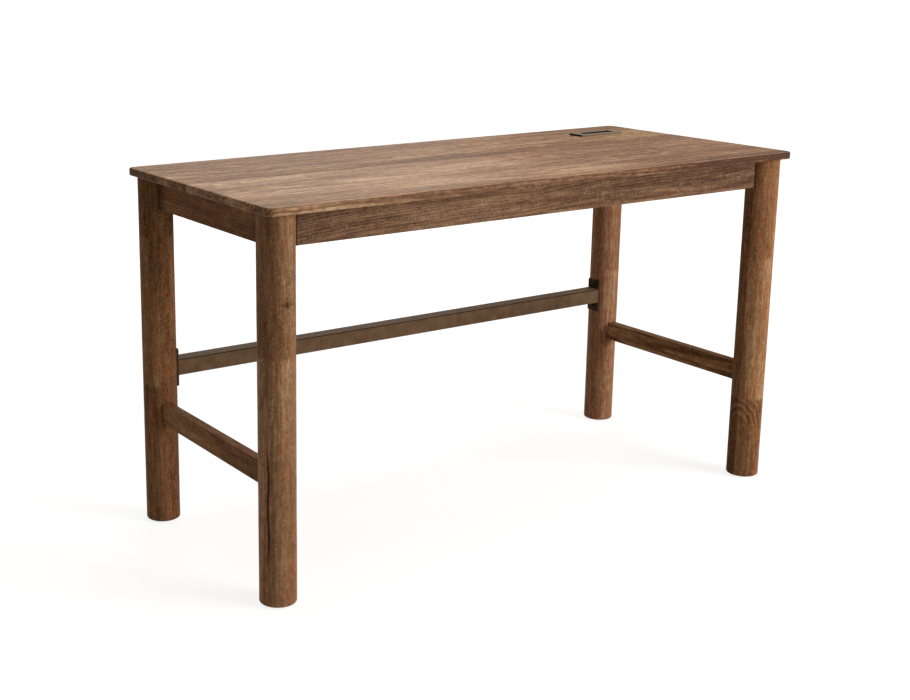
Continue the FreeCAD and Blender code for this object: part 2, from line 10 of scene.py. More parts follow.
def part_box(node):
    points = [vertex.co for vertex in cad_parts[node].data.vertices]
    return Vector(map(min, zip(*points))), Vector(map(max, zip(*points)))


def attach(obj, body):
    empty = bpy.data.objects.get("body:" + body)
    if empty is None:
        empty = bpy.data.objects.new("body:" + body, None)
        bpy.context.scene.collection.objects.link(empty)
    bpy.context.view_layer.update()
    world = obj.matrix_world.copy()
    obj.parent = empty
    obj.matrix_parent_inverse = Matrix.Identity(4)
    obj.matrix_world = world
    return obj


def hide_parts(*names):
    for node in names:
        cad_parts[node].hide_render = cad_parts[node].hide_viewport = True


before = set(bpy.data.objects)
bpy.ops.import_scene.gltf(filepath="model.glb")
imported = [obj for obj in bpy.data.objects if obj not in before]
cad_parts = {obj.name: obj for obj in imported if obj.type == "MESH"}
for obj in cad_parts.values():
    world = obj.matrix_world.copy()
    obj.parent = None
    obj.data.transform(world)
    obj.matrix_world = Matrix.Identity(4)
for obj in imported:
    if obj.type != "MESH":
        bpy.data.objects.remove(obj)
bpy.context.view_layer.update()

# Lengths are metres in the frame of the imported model: +X along the desk, +Y to its back, +Z up.
# The desk's colours are display values from 0 to 255, which paint() turns into linear light.

UP = Vector((0, 0, 1))
AXES = "XYZ"
CORNERS = ("front_left", "front_right", "back_left", "back_right")

# Camera, at the photograph's viewing angle
camera_place = Vector((-1.8862, -2.3675, 1.1936))
camera_yaw = 0.5636
camera_pitch = -0.2258
camera_lens_mm = 56.0
camera_sensor_mm = 36.0
camera_shift_shares = (0.15, -0.08)

# Studio; lamps are (place, width, watts)
floor_reach = 40.0
floor_near = 1.0
floor_far = 3.0
floor_near_white_share = 0.84
floor_glow_colour = (1, 1, 1, 1)
floor_shadow_colour = (0.3, 0.3, 0.3, 1)
floor_colour = (0.9, 0.9, 0.9, 1)
fill_strength = 0.16
fill_colour = (1.0, 0.92, 0.8, 1)
backdrop_colour = (1, 1, 1, 1)
light_target = Vector((0, 0, 0.45))
LAMPS = {
    "key_light": (Vector((2.75, -3.9, 1.95)), 2.4, 215.0),
    "top_light": (Vector((0.3, 0.2, 3.6)), 3.0, 60.0),
    "back_light": (Vector((1.7, 3.7, 1.4)), 2.0, 28.0),
}

# Legs
leg_low, leg_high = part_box("front_left_leg")
leg_radius = (leg_high.y - leg_low.y) / 2
leg_sides = 96
leg_row_height = 0.006
leg_foot_round = 0.003
leg_foot_rows = 4
leg_wobble = 0.00018
leg_wobble_size = 0.045
joint_gap = 0.0007
# Painted shadow line at the ends of the long aprons, and painted shade at the ends of the short ones, where
# they meet the legs
shoulder_shadow_line = 0.005
shoulder_shadow_fade = 0.0016
shoulder_painted_shade = 0.045
shoulder_shadow_line_strength = 0.9
shoulder_painted_shade_strength = 0.75
sharp_angle = math.radians(32)

# Finger joints between the blocks of a leg
finger_pitch = 0.0075
finger_length = 0.009
glue_line = 0.0007
glue_darkness = 0.35
block_step = Vector((0.31, 0.17, 0.43))
joint_steps = 1.0
stave_steps = 3.0

# Crack in a leg: it wanders to both sides of a straight line
crack_half_width = 0.002
crack_depth = 0.0014
crack_wander = 0.0012
crack_wave = 55.0
crack_column_step = 0.0005
crack_core_share = 0.4
crack_rim_share = 1.6
crack_fade_shares = (0.2, 0.5)
crack_end_slope = 3

# Arched grain where a block was cut across the tree
arch_pitch = 0.009
arch_squash_share = 0.5
arch_strength = 0.28
arch_uneven_share = 0.12
arch_rise_share = 0.6
arch_inner_shares = (0.25, 0.5)
arch_outer_share = 0.75

# Knot in a leg: a dark uneven spot with a tail to each side
knot_core_share = 0.2
knot_darkness = 0.85
knot_tail_stretch = (0.35, 0.35, 2.0)
knot_tail_core_share = 0.3
knot_tail_darkness = 0.5

# How uneven arches and knots are, for their size
spot_noise_ratio = 2

# Screws, by the node they stand for, and the bolts and nuts that hold the legs
Screw = namedtuple("Screw", "head head_height shank length pitch finish slot")
SCREWS = {
    "corner_block_screws": Screw(0.008, 0.0026, 0.004, 0.020, 0.0016, "zinc_plate", "zinc_steel"),
    "bar_plate_screws": Screw(0.010, 0.003, 0.005, 0.028, 0.002, "screw_black", "bronze_metal"),
    "top_bracket_screws": Screw(0.007, 0.0022, 0.0035, 0.013, 0.0014, "zinc_plate", "zinc_steel"),
    "power_clamp_screws": Screw(0.006, 0.002, 0.003, 0.008, 0.0012, "zinc_plate", "zinc_steel"),
}
screw_sides = 24
screw_dome_shares = ((0.45, -1.0), (0.72, -0.9), (0.9, -0.68), (1.0, -0.35), (1.0, 0.0))
screw_thread_share = 0.25
screw_plain_share = 0.15
screw_point_share = 0.25
recess_length_share = 0.6
recess_width_share = 0.15
recess_depth_share = 0.6
recess_overrun_share = 2
bolt_diameter = 0.008
bolt_wood_pitch = 0.0032
bolt_wood_depth = 0.0009
bolt_wood_share = 0.5
bolt_pitch = 0.00125
bolt_depth = 0.0006
nut_width = 0.013
nut_sides = 48
nut_chamfer_slope = math.tan(math.radians(60))
nut_chamfer_heights = (0.0, 0.0002, 0.0004, 0.0006)
rows_per_turn = 4
weld_distance = 0.000002

# Marks in the wood: how long each is along the grain and across it, how far its seed lies from the
# wood's own, and the detail and roughness of its noise
Mark = namedtuple("Mark", "along across step detail rough", defaults=(0.5,))
MARKS = {
    "patch": Mark(0.45, 0.05, 3, 2.0),
    "streak": Mark(0.2, 0.011, 7, 4.0, 0.62),
    "fibre": Mark(0.04, 0.0016, 11, 2.0),
    "cloud": Mark(0.12, 0.03, 13, 1.0),
    "blotch": Mark(0.022, 0.009, 5, 2.0),
    "cloud_blotch": Mark(0.022, 0.009, 41, 1.0),
    "pore": Mark(0.009, 0.0013, 17, 2.0, 0.6),
    "fleck": Mark(0.005, 0.0024, 23, 2.0),
    "tick": Mark(0.0022, 0.007, 29, 1.0),
    "tick_patch": Mark(0.12, 0.016, 31, 1.0),
}
TONE_MARKS = ("patch", "streak", "fibre", "blotch", "grit")
stripe_wobble_mark = Mark(0.3, 0.03, 37, 2.0)
ring_wobble_mark = Mark(0.5, 0.06, 0, 2.0)
frame_grit_mark = Mark(0.0045, 0.0026, 19, 2.0, 0.7)
top_grit_mark = frame_grit_mark._replace(along=0.018, across=0.006)
ring_pitch = 0.007
ring_wander = 0.06
wood_relief = 0.0004
stretcher_rings = (0.1, 0.3)
ring_start_share = 0.05
ring_peak_share = 0.85
stripe_wobble_share = 3
stripe_core_share = 0.3
stripe_end_share = 0.3
seed_steps = (1.0, 1.7, 2.3)

# Noise levels between which a mark sets in
pore_range = (0.3, 0.43)
fleck_range = (0.54, 0.76)
tick_range = (0.55, 0.68)
tick_patch_range = (0.5, 0.62)

# How far marks stand out of the wood, as shares of wood_relief, and what they do to its gloss
RELIEF_SHARES = {"pore": -0.7, "fibre": 0.5, "ring": 0.2, "tick": -0.6}
line_relief_share = -0.8
wood_bump = 0.4
line_darkness = 0.9
cloud_blotch = 0.8
wood_roughness = 0.52
streak_roughness = 0.2
pore_roughness = 0.15

# Edges of the top, told by how far up its surface faces: 1 is level
edge_levels = (0.7, 0.94)
# Upper arris of the top, which gets a painted highlight
arris_highlight_rise_levels = (0.8, 0.95)
arris_highlight_fall_levels = (0.98, 0.998)
arris_highlight_share = 0.4
end_grain_tone = -0.12
edge_fleck_share = 0.4

# Brush lines and moulded grain of the power unit's bezel
bezel_brush_mark = Mark(0.02, 0.0004, 0, 3.0, 0.6)
bezel_grit = 0.0005
bezel_relief = 0.00003
# Half size of the bezel's opening, which gets painted shade
bezel_opening_half = (0.0492, 0.0132)
bezel_sheen = 0.06
# How far a face must point along X to count as an end of the bezel, which gets painted shade
bezel_shaded_end_range = (0.6, 0.9)
bezel_grit_strength = 0.5
bezel_roughness = 0.45
bezel_brush_roughness = 0.3
bezel_bump = 0.3

# Mottled finishes of the fittings; finish_noise is the detail and roughness of their grain
finish_noise = (3.0, 0.6)
finish_cloud_ratio = 40
finish_grit_strength = 0.6
finish_range = (0.3, 0.75)
finish_cloud_roughness = 0.2
finish_bump = 0.3
finish_arris_rise_levels = (0.1, 0.3)
finish_arris_fall_levels = (0.85, 0.97)


def paint(red, green, blue):
    """Linear colour of a display colour."""
    channels = []
    for value in (red, green, blue):
        share = value / 255
        if share <= 0.04045:
            channels.append(share / 12.92)
        else:
            channels.append(((share + 0.055) / 1.055) ** 2.4)
    return (*channels, 1.0)


class Graph:
    """Adds nodes to one material, so that a material reads as a list of steps."""

    def __init__(self, name):
        self.material = bpy.data.materials.new(name)
        self.material.use_nodes = True
        self.tree = self.material.node_tree
        self.tree.nodes.clear()

    def add(self, kind, inputs=None, **settings):
        node = self.tree.nodes.new(kind)
        for key, value in settings.items():
            setattr(node, key, value)
        for key, value in (inputs or {}).items():
            self.feed(node.inputs[key], value)
        return node

    def feed(self, socket, value):
        """Link a socket to another one, or set its own value."""
        if isinstance(value, bpy.types.NodeSocket):
            self.tree.links.new(value, socket)
        else:
            socket.default_value = value

    def place(self):
        """Position in the desk's own frame."""
        return self.add("ShaderNodeTexCoord").outputs["Object"]

    def facing(self):
        """Direction in which the surface faces."""
        return self.add("ShaderNodeNewGeometry").outputs["Normal"]

    def calc(self, operation, one, other=0.0, clamp=False):
        node = self.add("ShaderNodeMath", {0: one, 1: other}, operation=operation, use_clamp=clamp)
        return node.outputs[0]

    def times(self, one, other):
        return self.calc("MULTIPLY", one, other)

    def total(self, values):
        """Sum of several fields."""
        return reduce(lambda one, other: self.calc("ADD", one, other), values)

    def product(self, values):
        """Product of several fields."""
        return reduce(self.times, values)

    def apart(self, one, other):
        """How far two fields are from each other."""
        return self.calc("ABSOLUTE", self.calc("SUBTRACT", one, other))

    def centred(self, value, amount):
        """Swing a 0 to 1 field about zero by an amount."""
        return self.times(self.calc("SUBTRACT", value, 0.5), amount)

    def vector(self, operation, one, other=(0, 0, 0)):
        node = self.add("ShaderNodeVectorMath", {0: one, 1: other}, operation=operation)
        return node.outputs["Value" if operation in ("LENGTH", "DOT_PRODUCT") else "Vector"]

    def scaled(self, vector, factor):
        node = self.add("ShaderNodeVectorMath", {0: vector, "Scale": factor}, operation="SCALE")
        return node.outputs["Vector"]

    def split(self, vector):
        return list(self.add("ShaderNodeSeparateXYZ", {0: vector}).outputs)

    def mapped(self, vector, scale, shift=(0, 0, 0), turn=(0, 0, 0)):
        inputs = {"Vector": vector, "Scale": scale, "Location": shift, "Rotation": turn}
        return self.add("ShaderNodeMapping", inputs).outputs["Vector"]

    def noise(self, vector, detail=2.0, roughness=0.5, output="Fac"):
        inputs = {"Vector": vector, "Scale": 1.0, "Detail": detail, "Roughness": roughness}
        return self.add("ShaderNodeTexNoise", inputs).outputs[output]

    def spread(self, value, low, high, to_low=0.0, to_high=1.0):
        """Smooth step of a value from one range to another."""
        inputs = {"Value": value, 1: low, 2: high, 3: to_low, 4: to_high}
        node = self.add("ShaderNodeMapRange", inputs, interpolation_type="SMOOTHSTEP")
        return node.outputs[0]

    def ramp(self, value, stops):
        """Colour ramp through (position, colour) stops."""
        node = self.add("ShaderNodeValToRGB", {"Fac": value})
        elements = node.color_ramp.elements
        while len(elements) < len(stops):
            elements.new(1.0)
        for element, (position, colour) in zip(elements, stops):
            element.position = position
            element.color = colour
        return node.outputs["Color"]

    def mix(self, factor, one, other, blend="MIX"):
        inputs = {0: factor, 6: one, 7: other}
        node = self.add("ShaderNodeMix", inputs, data_type="RGBA", blend_type=blend)
        return node.outputs[2]

    def bump(self, height, strength, depth):
        inputs = {"Height": height, "Strength": strength, "Distance": depth}
        return self.add("ShaderNodeBump", inputs).outputs["Normal"]

    def finish(self, inputs):
        """Close the material with one principled surface."""
        surface = self.add("ShaderNodeBsdfPrincipled", inputs)
        self.add("ShaderNodeOutputMaterial", {"Surface": surface.outputs[0]})
        return self.material


# How one board looks: grain is the axis it runs along, light shifts its tone, grit_mark is its finest
# mottling, heart and tilt place the tree's axis, sheen is how strongly it mirrors, edge is the (tone change,
# tone change per metre along the grain) of a flat board's turned-down edges, drift the (start, end, tone
# change) of its faces along the grain, whose lighter part is a painted sheen, band the (middle, half
# width, tone, start and end of fading) of a dark stripe, and the last field the (start, end, strength) of
# the painted shade at a rail's joint with its leg, measured from the rail's middle. The others are the
# strengths of its marks.
Wood = namedtuple(
    "Wood",
    "grain seed tones light grit_mark patch streak ring fibre grit blotch fleck pore tick tint heart tilt "
    "sheen edge drift band shoulder",
    defaults=(None, None, None, None),
)

# How one leg was glued up: tones, light and patch replace those of the frame's wood, hue shifts it
# between red and olive, joints are (height, tone and hue change above it), staves are (share of the radius
# across the leg, tone and hue change beyond it), knots are (angle, height, radius), arches are (angle,
# height, reach) of curved grain, and cracks are (angle, low end, high end).
Leg = namedtuple(
    "Leg", "tones light hue patch stave_turn joints staves knots arches cracks", defaults=((), (), ())
)

LEG_TONES = (paint(49, 30, 19), paint(92, 62, 41), paint(138, 101, 72), paint(188, 155, 124))
FRAME_TONES = (paint(48, 28, 16), paint(92, 60, 37), paint(138, 99, 67), paint(188, 153, 118))
APRON_TONES = (paint(50, 33, 24), paint(93, 67, 50), paint(137, 105, 81), paint(187, 159, 133))
TOP_TONES = (paint(78, 54, 42), paint(120, 88, 66), paint(158, 122, 94), paint(204, 172, 142))
BACK_TONES = (paint(76, 53, 39), paint(116, 84, 60), paint(154, 118, 86), paint(200, 168, 134))
# Pale tone of the painted highlight along the top's upper arrises
ARRIS_HIGHLIGHT_TONE = paint(206, 176, 146)
TONE_PLACES = (0.0, 0.33, 0.66, 1.0)
BARE_TONES = (paint(150, 112, 74), paint(186, 150, 106), paint(206, 174, 130), paint(222, 196, 158))
TINTS = (
    (0.25, (1.02, 0.9, 0.92, 1)),
    (0.4, (1.14, 0.97, 0.8, 1)),
    (0.5, (1, 1, 1, 1)),
    (0.62, (0.94, 1.0, 0.82, 1)),
    (0.75, (0.98, 0.92, 0.96, 1)),
)

# How a fitting is finished: base and pale are its two colours, grain is the size of its mottling, relief
# how deep that is, sheen how strongly it mirrors, and arris the colour of its upper arrises.
Finish = namedtuple("Finish", "base pale metal rough grain relief sheen arris")
bar_arris = paint(58, 41, 29)
FINISHES = {
    "bronze_paint": Finish(paint(92, 70, 50), paint(110, 87, 65), 0.0, 0.6, 0.0007, 0.0001, 0.03, bar_arris),
    # The plates' paint is the bar's bronze made darker: painted shade for plates that sit in shade by the
    # bar
    "shaded_plate_paint": Finish(paint(62, 45, 32), paint(78, 60, 45), 0.0, 0.6, 0.0007, 0.0001, 0.02, bar_arris),
    "screw_black": Finish(paint(26, 20, 16), paint(44, 35, 28), 0.0, 0.4, 0.0006, 0.00008, 0.1, None),
    "zinc_plate": Finish(paint(150, 152, 156), paint(186, 188, 190), 1.0, 0.35, 0.0008, 0.00005, 0.5, None),
    "nylon_glide": Finish(paint(70, 58, 48), paint(86, 72, 60), 0.0, 0.5, 0.0008, 0.00008, 0.5, None),
    "black_moulding": Finish(paint(24, 20, 17), paint(36, 30, 26), 0.0, 0.5, 0.0006, 0.00006, 0.14, None),
    "contact_brass": Finish(paint(170, 130, 70), paint(196, 160, 96), 1.0, 0.35, 0.0008, 0.00005, 0.5, None),
}
FINISH_NODES = {
    "bronze_paint": ["rear_bar"],
    # The plates take the darker paint, which is painted shade
    "shaded_plate_paint": ["left_bar_plate", "right_bar_plate"],
    "zinc_plate": ["hanger_washers", "top_brackets", "glide_nails", "usb_shells"],
    "nylon_glide": [corner + "_glide" for corner in CORNERS],
    "black_moulding": ["power_insert", "power_housing", "power_clamps", "cord_gland", "usb_tongues"],
    "contact_brass": ["outlet_contacts"],
}
BEZEL_BRONZE = (paint(104, 87, 69), paint(128, 110, 90))
# Dark colours of the painted shade on the bezel's ends and in its opening
BEZEL_PAINTED_SHADE = (paint(24, 16, 11), paint(40, 28, 20))

frame_look = Wood(
    grain="Z",
    seed=1.0,
    tones=FRAME_TONES,
    light=0.02,
    grit_mark=frame_grit_mark,
    patch=0.8,
    streak=0.5,
    ring=0.08,
    fibre=0.25,
    grit=0.56,
    blotch=0.4,
    fleck=0.26,
    pore=0.42,
    tick=0.26,
    tint=0.8,
    heart=(0.05, 0.03, 0),
    tilt=(0.02, 0.02, 0),
    sheen=0.015,
)
rail_look = frame_look._replace(grain="Y", ring=0.1, heart=(0.5, 0, -0.3), tilt=(0.03, 0, 0.02))
apron_look = frame_look._replace(
    grain="X",
    tones=APRON_TONES,
    light=-0.04,
    streak=0.7,
    ring=0.18,
    grit=0.58,
    blotch=0.35,
    fleck=0.2,
    tint=0.4,
    heart=(0, 0.3, -0.62),
    tilt=(0, 0.06, 0.02),
)
top_look = frame_look._replace(
    grain="X",
    tones=TOP_TONES,
    edge=(-0.3, -0.26),
    grit_mark=top_grit_mark,
    patch=1.0,
    streak=1.1,
    ring=0.25,
    fibre=0.6,
    grit=0.9,
    blotch=0.35,
    fleck=0.2,
    pore=0.6,
    tick=0.1,
    tint=0.5,
    heart=(0, 0.1, -0.9),
    tilt=(0, 0.02, 0.03),
    sheen=0.022,
)
# The front board's faces darken towards its right end, so that its lighter left part is a painted sheen
front_board_look = top_look._replace(edge=(-0.38, -0.44), light=0.19, drift=(0.0, 0.55, -0.26))
back_board_look = top_look._replace(
    seed=5.0,
    tones=BACK_TONES,
    light=0.03,
    drift=(0.2, 0.5, -0.05),
    band=(0.05, 0.035, -0.17, -0.4, 0.1),
    heart=(0, -0.1, -0.85),
)
bare_look = frame_look._replace(
    grain="X",
    seed=31.0,
    tones=BARE_TONES,
    ring=0.3,
    grit=0.4,
    blotch=0.2,
    fleck=0.1,
    pore=0.3,
    tick=0.1,
    tint=0.3,
)

# Seed of the first apron, stretcher and leg
apron_seed = 9.0
stretcher_seed = 15.0
leg_seed = 21.0

LEGS = {
    "front_left": Leg(
        tones=LEG_TONES,
        light=0.18,
        hue=0.0,
        patch=0.4,
        stave_turn=-1.03,
        joints=((0.478, -0.16, 0.02),),
        staves=((0.0, 0.0, 0.04),),
        knots=((-1.5, 0.583, 0.009),),
        cracks=((-2.6, 0.06, 0.35),),
    ),
    "front_right": Leg(
        tones=FRAME_TONES,
        light=-0.15,
        hue=0.02,
        patch=0.4,
        stave_turn=-0.87,
        joints=((0.186, 0.1, 0.06), (0.518, -0.07, -0.12)),
        staves=((-0.5, 0.2, -0.1), (0.45, 0.0, -0.08)),
        arches=((-2.95, 0.1, 0.066),),
    ),
    "back_left": Leg(
        tones=FRAME_TONES,
        light=-0.02,
        hue=0.02,
        patch=0.6,
        stave_turn=-0.9,
        joints=((0.30, 0.03, 0.05), (0.62, -0.03, -0.05)),
        staves=((0.5, -0.06, -0.2),),
    ),
    "back_right": Leg(
        tones=LEG_TONES,
        light=0.12,
        hue=-0.22,
        patch=0.5,
        stave_turn=-0.8,
        joints=((0.24, 0.04, 0.0), (0.40, -0.03, 0.0)),
        staves=((-0.2, -0.04, -0.02),),
    ),
}


def marks_of(graph, place, mark, grain, seed, output="Fac"):
    """Noise drawn out along the grain to the length and width of a mark."""
    scale = [1 / mark.across] * 3
    scale[AXES.index(grain)] = 1 / mark.along
    shift = [(seed + mark.step) * step for step in seed_steps]
    return graph.noise(graph.mapped(place, scale, shift), mark.detail, mark.rough, output)


def saw_tooth(graph, value):
    """Rise slowly and fall fast once in each whole unit, as early and late wood do."""
    part = graph.calc("FRACT", value)
    rise = graph.spread(part, ring_start_share, ring_peak_share)
    return graph.times(rise, graph.spread(part, ring_peak_share, 1.0, 1.0, 0.0))


def growth_rings(graph, place, wood):
    """Ring field round a tree's axis that lies off the board and at a slant to it."""
    wobble = marks_of(graph, place, ring_wobble_mark, wood.grain, wood.seed, "Color")
    wobble = graph.scaled(graph.vector("SUBTRACT", wobble, (0.5, 0.5, 0.5)), ring_wander)
    turned = graph.mapped(place, (1, 1, 1), wood.heart, wood.tilt)
    cross = [1.0, 1.0, 1.0]
    cross[AXES.index(wood.grain)] = 0.0
    away = graph.vector("MULTIPLY", graph.vector("ADD", turned, wobble), cross)
    return saw_tooth(graph, graph.calc("DIVIDE", graph.vector("LENGTH", away), ring_pitch))


def wood_marks(graph, place, wood):
    """Every field of marks in one wood, by name."""
    marks = dict(MARKS, grit=wood.grit_mark)
    fields = {name: marks_of(graph, place, mark, wood.grain, wood.seed) for name, mark in marks.items()}
    fields["ring"] = growth_rings(graph, place, wood)
    fields["pore"] = graph.spread(fields["pore"], *pore_range, 1.0, 0.0)
    fields["fleck"] = graph.spread(fields["fleck"], *fleck_range)
    gathered = graph.spread(fields["tick_patch"], *tick_patch_range)
    fields["tick"] = graph.times(graph.spread(fields["tick"], *tick_range), gathered)
    return fields


def stripe(graph, place, wood):
    """Dark stripe of uneven width along a board that lies flat."""
    middle, half, tone, start, end = wood.band
    wobble = marks_of(graph, place, stripe_wobble_mark, wood.grain, wood.seed)
    across = graph.calc("ADD", graph.split(place)[1], graph.centred(wobble, half * stripe_wobble_share))
    off = graph.apart(across, middle)
    dark = graph.spread(off, half * stripe_core_share, half, tone, 0.0)
    along = graph.split(place)[AXES.index(wood.grain)]
    return graph.times(dark, graph.spread(along, start, end, 1.0, stripe_end_share))


def crack_mask(graph, local, crack):
    """Dark wandering line down one side of a leg."""
    angle, low, high = crack
    x, y, z = graph.split(local)
    side = graph.calc("SUBTRACT", graph.times(y, math.cos(angle)), graph.times(x, math.sin(angle)))
    wander = graph.times(graph.calc("SINE", graph.times(z, crack_wave)), crack_wander)
    off = graph.apart(side, wander)
    front = graph.vector("DOT_PRODUCT", local, (math.cos(angle), math.sin(angle), 0))
    from_middle = graph.apart(z, (low + high) / 2)
    core, rim = crack_half_width * crack_core_share, crack_half_width * crack_rim_share
    fade = [(high - low) * share for share in crack_fade_shares]
    return graph.product(
        [
            graph.spread(off, core, rim, 1.0, 0.0),
            graph.calc("GREATER_THAN", front, 0.0),
            graph.spread(from_middle, *fade, 1.0, 0.0),
        ]
    )


def leg_point(angle, height):
    """Point on a leg's surface, from the foot of its axis."""
    return Vector((math.cos(angle) * leg_radius, math.sin(angle) * leg_radius, height))


def knot_mask(graph, local, knot):
    """Dark uneven spot with a tail to each side."""
    angle, height, size = knot
    uneven = graph.noise(graph.mapped(local, [spot_noise_ratio / size] * 3), 2.0, output="Color")
    uneven = graph.scaled(graph.vector("SUBTRACT", uneven, (0.5, 0.5, 0.5)), size)
    away = graph.vector("SUBTRACT", graph.vector("ADD", local, uneven), tuple(leg_point(angle, height)))
    spot = graph.spread(graph.vector("LENGTH", away), size * knot_core_share, size, knot_darkness, 0.0)
    tail = graph.vector("LENGTH", graph.vector("MULTIPLY", away, knot_tail_stretch))
    tail = graph.spread(tail, size * knot_tail_core_share, size, knot_tail_darkness, 0.0)
    return graph.calc("MAXIMUM", spot, tail)


def arched_grain(graph, local, arch):
    """Rings that arch over a point on a leg, where its block was cut across the tree."""
    angle, height, reach = arch
    away = graph.vector("SUBTRACT", local, tuple(leg_point(angle, height)))
    far = graph.vector("LENGTH", graph.vector("MULTIPLY", away, (1, 1, arch_squash_share)))
    uneven = graph.noise(graph.mapped(local, [spot_noise_ratio / reach] * 3), 1.0)
    far = graph.calc("ADD", far, graph.centred(uneven, reach * arch_uneven_share))
    rings = graph.centred(saw_tooth(graph, graph.calc("DIVIDE", far, arch_pitch)), -arch_strength)
    above = graph.spread(graph.split(away)[2], 0.0, reach * arch_rise_share)
    inner = graph.spread(far, *[reach * share for share in arch_inner_shares])
    outer = graph.spread(far, reach * arch_outer_share, reach, 1.0, 0.0)
    return graph.product([rings, above, inner, outer])


def glued_up(graph, place, axis, leg):
    """Sample point, tone, hue and dark lines of a leg glued up from staves of finger-jointed blocks."""
    local = graph.vector("SUBTRACT", place, axis)
    x, _, z = graph.split(local)
    tooth = graph.calc("PINGPONG", x, finger_pitch / 2)
    level = graph.calc("SUBTRACT", z, graph.times(tooth, 2 * finger_length / finger_pitch))
    turn = (math.cos(leg.stave_turn), math.sin(leg.stave_turn), 0)
    across = graph.vector("DOT_PRODUCT", local, turn)
    tones = []
    hues = [leg.hue]
    counts = []
    lines = []
    steps = [(level, height, *change, joint_steps) for height, *change in leg.joints]
    steps += [(across, share * leg_radius, *change, stave_steps) for share, *change in leg.staves]
    for field, limit, tone, hue, count in steps:
        beyond = graph.calc("GREATER_THAN", field, limit)
        tones.append(graph.times(beyond, tone))
        hues.append(graph.times(beyond, hue))
        counts.append(graph.times(beyond, count))
        off = graph.apart(field, limit)
        lines.append(graph.spread(off, 0.0, glue_line, glue_darkness, 0.0))
    below_joints = graph.calc("LESS_THAN", level, min(joint[0] for joint in leg.joints))
    for arch in leg.arches:
        tones.append(graph.times(arched_grain(graph, local, arch), below_joints))
    lines += [knot_mask(graph, local, knot) for knot in leg.knots]
    lines += [crack_mask(graph, local, crack) for crack in leg.cracks]
    moved = graph.scaled(tuple(block_step), graph.total(counts))
    return graph.vector("ADD", place, moved), graph.total(tones), graph.total(hues), graph.total(lines)


def edge_shares(graph):
    """How far a flat board's surface is its turned-down edge, and how far its upper arris, which gets a
    painted highlight.
    """
    level = graph.split(graph.facing())[2]
    edge = graph.spread(graph.calc("ABSOLUTE", level), *edge_levels, 1.0, 0.0)
    rise = graph.spread(level, *arris_highlight_rise_levels)
    arris = graph.times(rise, graph.spread(level, *arris_highlight_fall_levels, 1.0, 0.0))
    return edge, arris


def edge_tone(graph, place, edge, wood):
    """Tone change of a flat board's edges, where the end grain is the darkest."""
    change, drift = wood.edge
    along = AXES.index(wood.grain)
    end_grain = graph.calc("ABSOLUTE", graph.split(graph.facing())[along])
    steps = [graph.times(end_grain, end_grain_tone), graph.times(graph.split(place)[along], drift), change]
    return graph.times(graph.total(steps), edge)


def painted_sheen_tone(graph, place, edge, wood):
    """Tone change along the upper and lower faces of a flat board, whose lighter part is a painted sheen."""
    start, end, change = wood.drift
    drift = graph.spread(graph.split(place)[AXES.index(wood.grain)], start, end, 0.0, change)
    return graph.times(drift, graph.calc("SUBTRACT", 1.0, edge))


def painted_end_shade(graph, place, wood):
    """Painted shade at both ends of a rail, where it meets its legs."""
    start, end, strength = wood.shoulder
    along = graph.calc("ABSOLUTE", graph.split(place)[AXES.index(wood.grain)])
    return graph.spread(along, start, end, 0.0, strength)


def wood_tone(graph, marks, wood, changes):
    """Place of the wood between its darkest tone and its palest."""
    swings = [graph.centred(marks["ring"], -wood.ring)]
    swings += [graph.centred(marks[name], getattr(wood, name)) for name in TONE_MARKS]
    return graph.calc("ADD", graph.total(swings + changes), 0.5 + wood.light, clamp=True)


def wood_colour(graph, tone, hue, marks, wood, edge, arris):
    """Colour of the wood with its tints, a painted highlight on its upper arrises, and small marks."""
    colour = graph.ramp(tone, list(zip(TONE_PLACES, wood.tones)))
    fleck = marks["fleck"]
    if edge:
        # Painted highlight along the upper arris
        colour = graph.mix(graph.times(arris, arris_highlight_share), colour, ARRIS_HIGHLIGHT_TONE)
        fleck = graph.times(fleck, graph.spread(edge, 0.0, 1.0, 1.0, edge_fleck_share))
    cloud = graph.calc("ADD", marks["cloud"], graph.centred(marks["cloud_blotch"], cloud_blotch))
    tint = graph.ramp(graph.calc("ADD", cloud, hue), TINTS)
    colour = graph.mix(wood.tint, colour, tint, "MULTIPLY")
    colour = graph.mix(graph.times(fleck, wood.fleck), colour, wood.tones[-1])
    colour = graph.mix(graph.times(marks["tick"], wood.tick), colour, wood.tones[-1])
    return graph.mix(graph.times(marks["pore"], wood.pore), colour, wood.tones[0])


def wood_material(name, wood, axis=None, leg=None):
    """Stained open-pored wood with rings, streaks, pores and pale flecks along its grain."""
    graph = Graph(name)
    place = graph.place()
    changes = []
    hue = 0.0
    lines = edge = arris = None
    if wood.edge:
        edge, arris = edge_shares(graph)
        changes.append(edge_tone(graph, place, edge, wood))
    # Painted sheen along the board's faces
    if wood.drift:
        changes.append(painted_sheen_tone(graph, place, edge, wood))
    if wood.band:
        changes.append(stripe(graph, place, wood))
    # Painted shade where the rail meets its legs
    if wood.shoulder:
        lines = painted_end_shade(graph, place, wood)
    if leg:
        place, block_tone, hue, lines = glued_up(graph, place, axis, leg)
        changes.append(block_tone)
    marks = wood_marks(graph, place, wood)
    tone = wood_tone(graph, marks, wood, changes)
    colour = wood_colour(graph, tone, hue, marks, wood, edge, arris)
    heights = [graph.times(marks[mark], share) for mark, share in RELIEF_SHARES.items()]
    if lines:
        colour = graph.mix(graph.calc("MINIMUM", lines, line_darkness), colour, wood.tones[0])
        heights.append(graph.times(lines, line_relief_share))
    rough = [graph.centred(marks["streak"], streak_roughness), graph.times(marks["pore"], pore_roughness)]
    return graph.finish(
        {
            "Base Color": colour,
            "Roughness": graph.calc("ADD", graph.total(rough), wood_roughness, clamp=True),
            "Normal": graph.bump(graph.total(heights), wood_bump, wood_relief),
            "Specular IOR Level": wood.sheen,
        }
    )


